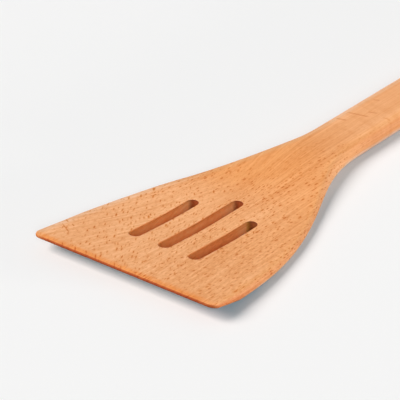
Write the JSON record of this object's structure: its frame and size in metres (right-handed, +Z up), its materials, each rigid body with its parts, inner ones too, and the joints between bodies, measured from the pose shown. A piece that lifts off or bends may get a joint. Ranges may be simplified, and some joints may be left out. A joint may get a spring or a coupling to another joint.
{
  "type": "slotted kitchen spatula",
  "caption": "One-piece beech turner: a broad flat blade with drain slots and a thin front edge, a drawn-in neck that ramps up to a thicker rounded handle.",
  "frame": {"origin": "on the table under the middle of the whole length, where the handle's flat underside lies at z = 0", "axes": "+Y along the handle, away from the blade; +X across the blade; +Z up, out of the upper face"},
  "size_m": [0.08, 0.3, 0.0085],
  "materials": {
    "beech": "sanded and lightly oiled beech, fine straight grain with short dark ray flecks"
  },
  "bodies": {
    "root": {"spatula_body": "beech"}
  },
  "joints": []
}
